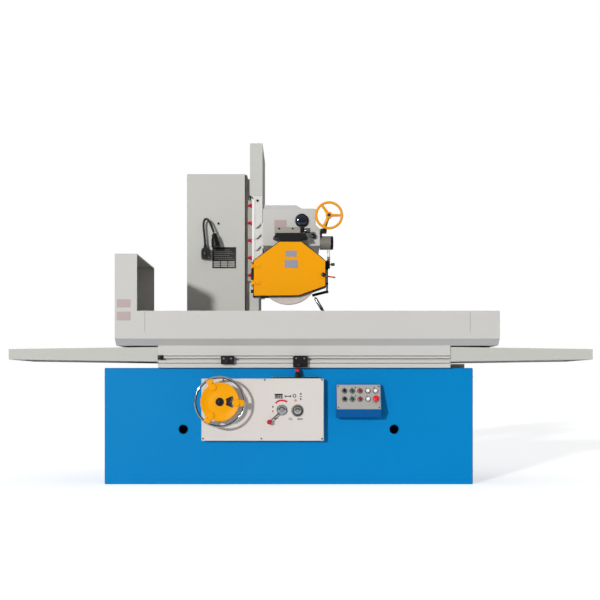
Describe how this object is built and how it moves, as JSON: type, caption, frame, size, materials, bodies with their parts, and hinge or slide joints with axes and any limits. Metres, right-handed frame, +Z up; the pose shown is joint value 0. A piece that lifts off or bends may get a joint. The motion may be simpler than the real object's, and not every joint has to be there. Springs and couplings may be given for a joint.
{
  "type": "surface grinder",
  "caption": "Horizontal-wheel surface grinder: bed with sliding magnetic table, tray and hood, side column, lifting carriage and cross-sliding guarded wheelhead.",
  "frame": {"origin": "middle of the bed's underside, on the floor, below the table's centreline", "axes": "+X along the table to the operator's right, +Y away from the operator, +Z up"},
  "size_m": [3.794, 1.848, 2.4],
  "materials": {
    "bed_blue": "gloss",
    "pale_grey": "satin",
    "column_grey": "satin",
    "panel_beige": "satin",
    "guard_yellow": "gloss",
    "black_enamel": "satin",
    "black_plastic": "gloss",
    "red_plastic": "gloss",
    "green_plastic": "gloss",
    "white_plastic": "gloss",
    "orange_plastic": "gloss",
    "ground_steel": "ground",
    "brushed_steel": "brushed",
    "chrome": "polished",
    "abrasive": "bonded abrasive",
    "motor_grey": "satin"
  },
  "bodies": {
    "root": {"bed": "bed_blue", "column": "column_grey", "column_front_cover": "column_grey", "column_way": "column_grey", "lamp_base": "black_enamel", "control_panel": "panel_beige", "feed_dial": "chrome", "console_box": "bed_blue", "console_plate": "brushed_steel", "piston_rod": "ground_steel"},
    "elevating_screw": {"elevating_screw": "ground_steel"},
    "feed_handwheel": {"feed_handwheel": "guard_yellow"},
    "hydraulic_lever": {"hydraulic_lever": "chrome"},
    "speed_knob": {"speed_knob": "chrome"},
    "reversing_lever": {"reversing_lever": "black_plastic"},
    "lamp_shade": {"lamp_shade": "black_enamel"},
    "table": {"table": "pale_grey", "magnetic_chuck": "ground_steel", "tray": "pale_grey", "splash_hood": "pale_grey", "table_cylinder": "ground_steel", "wing_left": "column_grey", "wing_right": "column_grey"},
    "trip_dog_left": {"trip_dog_left": "black_enamel"},
    "trip_dog_right": {"trip_dog_right": "black_enamel"},
    "carriage": {"carriage": "pale_grey", "lube_manifold": "ground_steel", "way_cover_upper": "column_grey"},
    "wheelhead": {"wheelhead": "pale_grey", "head_rear_cover": "pale_grey", "spindle_motor": "motor_grey", "spindle_bearing_front": "ground_steel", "spindle_bearing_rear": "ground_steel", "sight_glass": "black_plastic", "guard_casing": "black_enamel", "dresser_base": "black_enamel", "crossfeed_motor": "motor_grey", "coolant_pipe": "white_plastic", "coolant_line": "black_enamel"},
    "spindle": {"spindle": "ground_steel", "grinding_wheel": "abrasive", "wheel_flange": "ground_steel"},
    "guard_door": {"guard_door": "guard_yellow"},
    "latch_knob": {"latch_knob": "black_plastic"},
    "dresser_slide": {"dresser_slide": "ground_steel"},
    "dresser_knob": {"dresser_knob": "ground_steel"},
    "crossfeed_handwheel": {"crossfeed_handwheel": "guard_yellow"},
    "head_knob": {"head_knob": "black_plastic"},
    "coolant_tube": {"coolant_tube": "chrome"},
    "valve_knob": {"valve_knob": "green_plastic"},
    "coolant_lever": {"coolant_lever": "orange_plastic"},
    "selector_upper": {"selector_upper": "black_plastic"},
    "button_green_upper": {"button_green_upper": "green_plastic"},
    "button_red_upper": {"button_red_upper": "red_plastic"},
    "button_white_upper": {"button_white_upper": "white_plastic"},
    "selector_lower": {"selector_lower": "black_plastic"},
    "button_green_lower": {"button_green_lower": "green_plastic"},
    "button_red_lower": {"button_red_lower": "red_plastic"},
    "button_white_lower": {"button_white_lower": "white_plastic"},
    "emergency_stop": {"emergency_stop": "red_plastic"}
  },
  "joints": [
    {"name": "table_slide", "type": "slide", "parent": "root", "child": "table", "axis": [1, 0, 0], "range_m": [-0.8, 0.6]},
    {"name": "trip_dog_left_slide", "type": "slide", "parent": "table", "child": "trip_dog_left", "axis": [1, 0, 0], "range_m": [-0.36, 0.16]},
    {"name": "trip_dog_right_slide", "type": "slide", "parent": "table", "child": "trip_dog_right", "axis": [1, 0, 0], "range_m": [-0.2, 0.85]},
    {"name": "carriage_lift", "type": "slide", "parent": "root", "child": "carriage", "axis": [0, 0, 1], "range_m": [-0.07, 0.17]},
    {"name": "head_cross", "type": "slide", "parent": "carriage", "child": "wheelhead", "axis": [0, 1, 0], "range_m": [-0.28, 0.42]},
    {"name": "spindle_spin", "type": "hinge", "parent": "wheelhead", "child": "spindle", "pos_m": [-0.003, -0.09, 1.389], "axis": [0, 1, 0], "continuous": true},
    {"name": "elevating_screw_turn", "type": "hinge", "parent": "root", "child": "elevating_screw", "pos_m": [-0.253, 0.775, 1.389], "axis": [0, 0, 1], "continuous": true},
    {"name": "feed_handwheel_turn", "type": "hinge", "parent": "root", "child": "feed_handwheel", "pos_m": [-0.437, -0.48, 0.539], "axis": [0, -1, 0], "continuous": true},
    {"name": "hydraulic_lever_turn", "type": "hinge", "parent": "root", "child": "hydraulic_lever", "pos_m": [-0.043, -0.3803, 0.485], "axis": [0, -1, 0], "range_deg": [-40, 40]},
    {"name": "speed_knob_turn", "type": "hinge", "parent": "root", "child": "speed_knob", "pos_m": [0.058, -0.3803, 0.481], "axis": [0, -1, 0], "range_deg": [0, 270]},
    {"name": "reversing_lever_turn", "type": "hinge", "parent": "root", "child": "reversing_lever", "pos_m": [0.058, -0.361, 0.716], "axis": [0, 1, 0], "range_deg": [-15, 15]},
    {"name": "guard_door_hinge", "type": "hinge", "parent": "wheelhead", "child": "guard_door", "pos_m": [-0.246, -0.124, 1.389], "axis": [0, 0, -1], "range_deg": [0, 100]},
    {"name": "latch_knob_turn", "type": "hinge", "parent": "guard_door", "child": "latch_knob", "pos_m": [0.23, -0.13, 1.385], "axis": [0, -1, 0], "range_deg": [0, 90]},
    {"name": "dresser_traverse", "type": "slide", "parent": "wheelhead", "child": "dresser_slide", "axis": [0, 1, 0], "range_m": [-0.02, 0.02]},
    {"name": "dresser_feed", "type": "hinge", "parent": "dresser_slide", "child": "dresser_knob", "pos_m": [0.111, -0.065, 1.69], "axis": [1, 0, 0], "continuous": true},
    {"name": "crossfeed_handwheel_turn", "type": "hinge", "parent": "wheelhead", "child": "crossfeed_handwheel", "pos_m": [0.27, -0.1, 1.788], "axis": [0, 1, 0], "continuous": true},
    {"name": "head_knob_turn", "type": "hinge", "parent": "wheelhead", "child": "head_knob", "pos_m": [0.167, 0, 1.66], "axis": [0, -1, 0], "range_deg": [0, 180]},
    {"name": "coolant_tube_swivel", "type": "hinge", "parent": "wheelhead", "child": "coolant_tube", "pos_m": [0.172, -0.025, 1.249], "axis": [0, 1, 0], "range_deg": [-25, 25]},
    {"name": "valve_knob_turn", "type": "hinge", "parent": "wheelhead", "child": "valve_knob", "pos_m": [0.278, -0.055, 1.462], "axis": [1, 0, 0], "range_deg": [0, 270]},
    {"name": "coolant_lever_turn", "type": "hinge", "parent": "wheelhead", "child": "coolant_lever", "pos_m": [0.2585, -0.0613, 1.38], "axis": [0, 1, 0], "range_deg": [0, 75]},
    {"name": "lamp_shade_tilt", "type": "hinge", "parent": "root", "child": "lamp_shade", "pos_m": [-0.5426, 0.395, 1.742], "axis": [0, 1, 0], "range_deg": [-30, 15]},
    {"name": "selector_upper_turn", "type": "hinge", "parent": "root", "child": "selector_upper", "pos_m": [0.361, -0.38502, 0.60817], "axis": [0, -0.9281, 0.3724], "range_deg": [-45, 45]},
    {"name": "button_green_upper_push", "type": "slide", "parent": "root", "child": "button_green_upper", "axis": [0, 0.9281, -0.3724], "range_m": [0, 0.004], "stiffness_N_per_m": 400, "springref_m": -0.002},
    {"name": "button_red_upper_push", "type": "slide", "parent": "root", "child": "button_red_upper", "axis": [0, 0.9281, -0.3724], "range_m": [0, 0.004], "stiffness_N_per_m": 400, "springref_m": -0.002},
    {"name": "button_white_upper_push", "type": "slide", "parent": "root", "child": "button_white_upper", "axis": [0, 0.9281, -0.3724], "range_m": [0, 0.004], "stiffness_N_per_m": 400, "springref_m": -0.002},
    {"name": "selector_lower_turn", "type": "hinge", "parent": "root", "child": "selector_lower", "pos_m": [0.361, -0.40624, 0.55527], "axis": [0, -0.9281, 0.3724], "range_deg": [-45, 45]},
    {"name": "button_green_lower_push", "type": "slide", "parent": "root", "child": "button_green_lower", "axis": [0, 0.9281, -0.3724], "range_m": [0, 0.004], "stiffness_N_per_m": 400, "springref_m": -0.002},
    {"name": "button_red_lower_push", "type": "slide", "parent": "root", "child": "button_red_lower", "axis": [0, 0.9281, -0.3724], "range_m": [0, 0.004], "stiffness_N_per_m": 400, "springref_m": -0.002},
    {"name": "button_white_lower_push", "type": "slide", "parent": "root", "child": "button_white_lower", "axis": [0, 0.9281, -0.3724], "range_m": [0, 0.004], "stiffness_N_per_m": 400, "springref_m": -0.002},
    {"name": "emergency_stop_push", "type": "slide", "parent": "root", "child": "emergency_stop", "axis": [0, 0.9281, -0.3724], "range_m": [0, 0.004], "stiffness_N_per_m": 400, "springref_m": -0.002}
  ],
  "couplings": [
    {"joint": "elevating_screw_turn", "follows": "carriage_lift", "rad_per_m": 785.4},
    {"joint": "crossfeed_handwheel_turn", "follows": "head_cross", "rad_per_m": 157.08}
  ]
}
